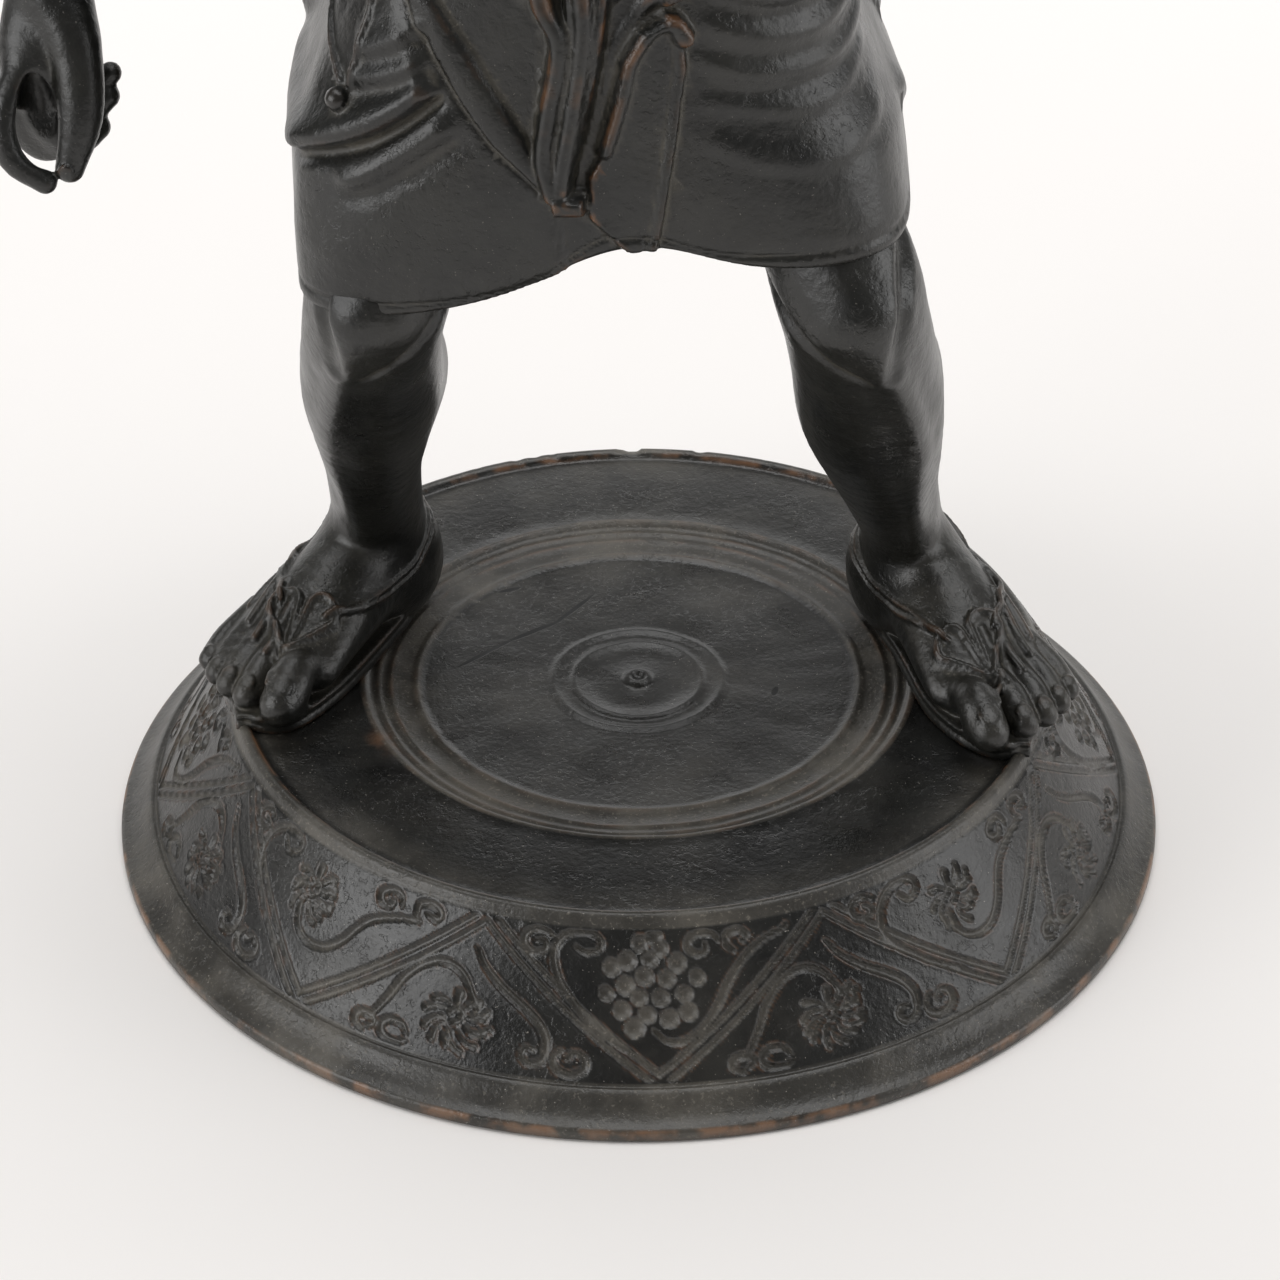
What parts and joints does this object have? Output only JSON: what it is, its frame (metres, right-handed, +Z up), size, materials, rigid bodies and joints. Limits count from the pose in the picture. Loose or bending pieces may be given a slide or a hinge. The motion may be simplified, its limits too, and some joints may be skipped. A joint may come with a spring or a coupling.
{
  "type": "bronze silenus statuette",
  "caption": "Stout bearded old man in a short wrapped mantle and sandals, standing wide-legged with one arm lowered and one raised, on a round turned base with an engraved zigzag band.",
  "frame": {"origin": "centre of the round base's underside, on the surface that it stands on", "axes": "+Z up; the figure faces -Y; its own right side is towards -X"},
  "size_m": [0.2218, 0.1998, 0.398],
  "materials": {
    "base_bronze": "cast bronze with a dark brown-green patina, satin, worn to warm copper on its edges, dusty in the recesses",
    "figure_bronze": "cast bronze with a near-black patina, satin to glossy, worn to warm copper on raised folds and fingers"
  },
  "bodies": {
    "root": {"base": "base_bronze", "figure": "figure_bronze"}
  },
  "joints": []
}
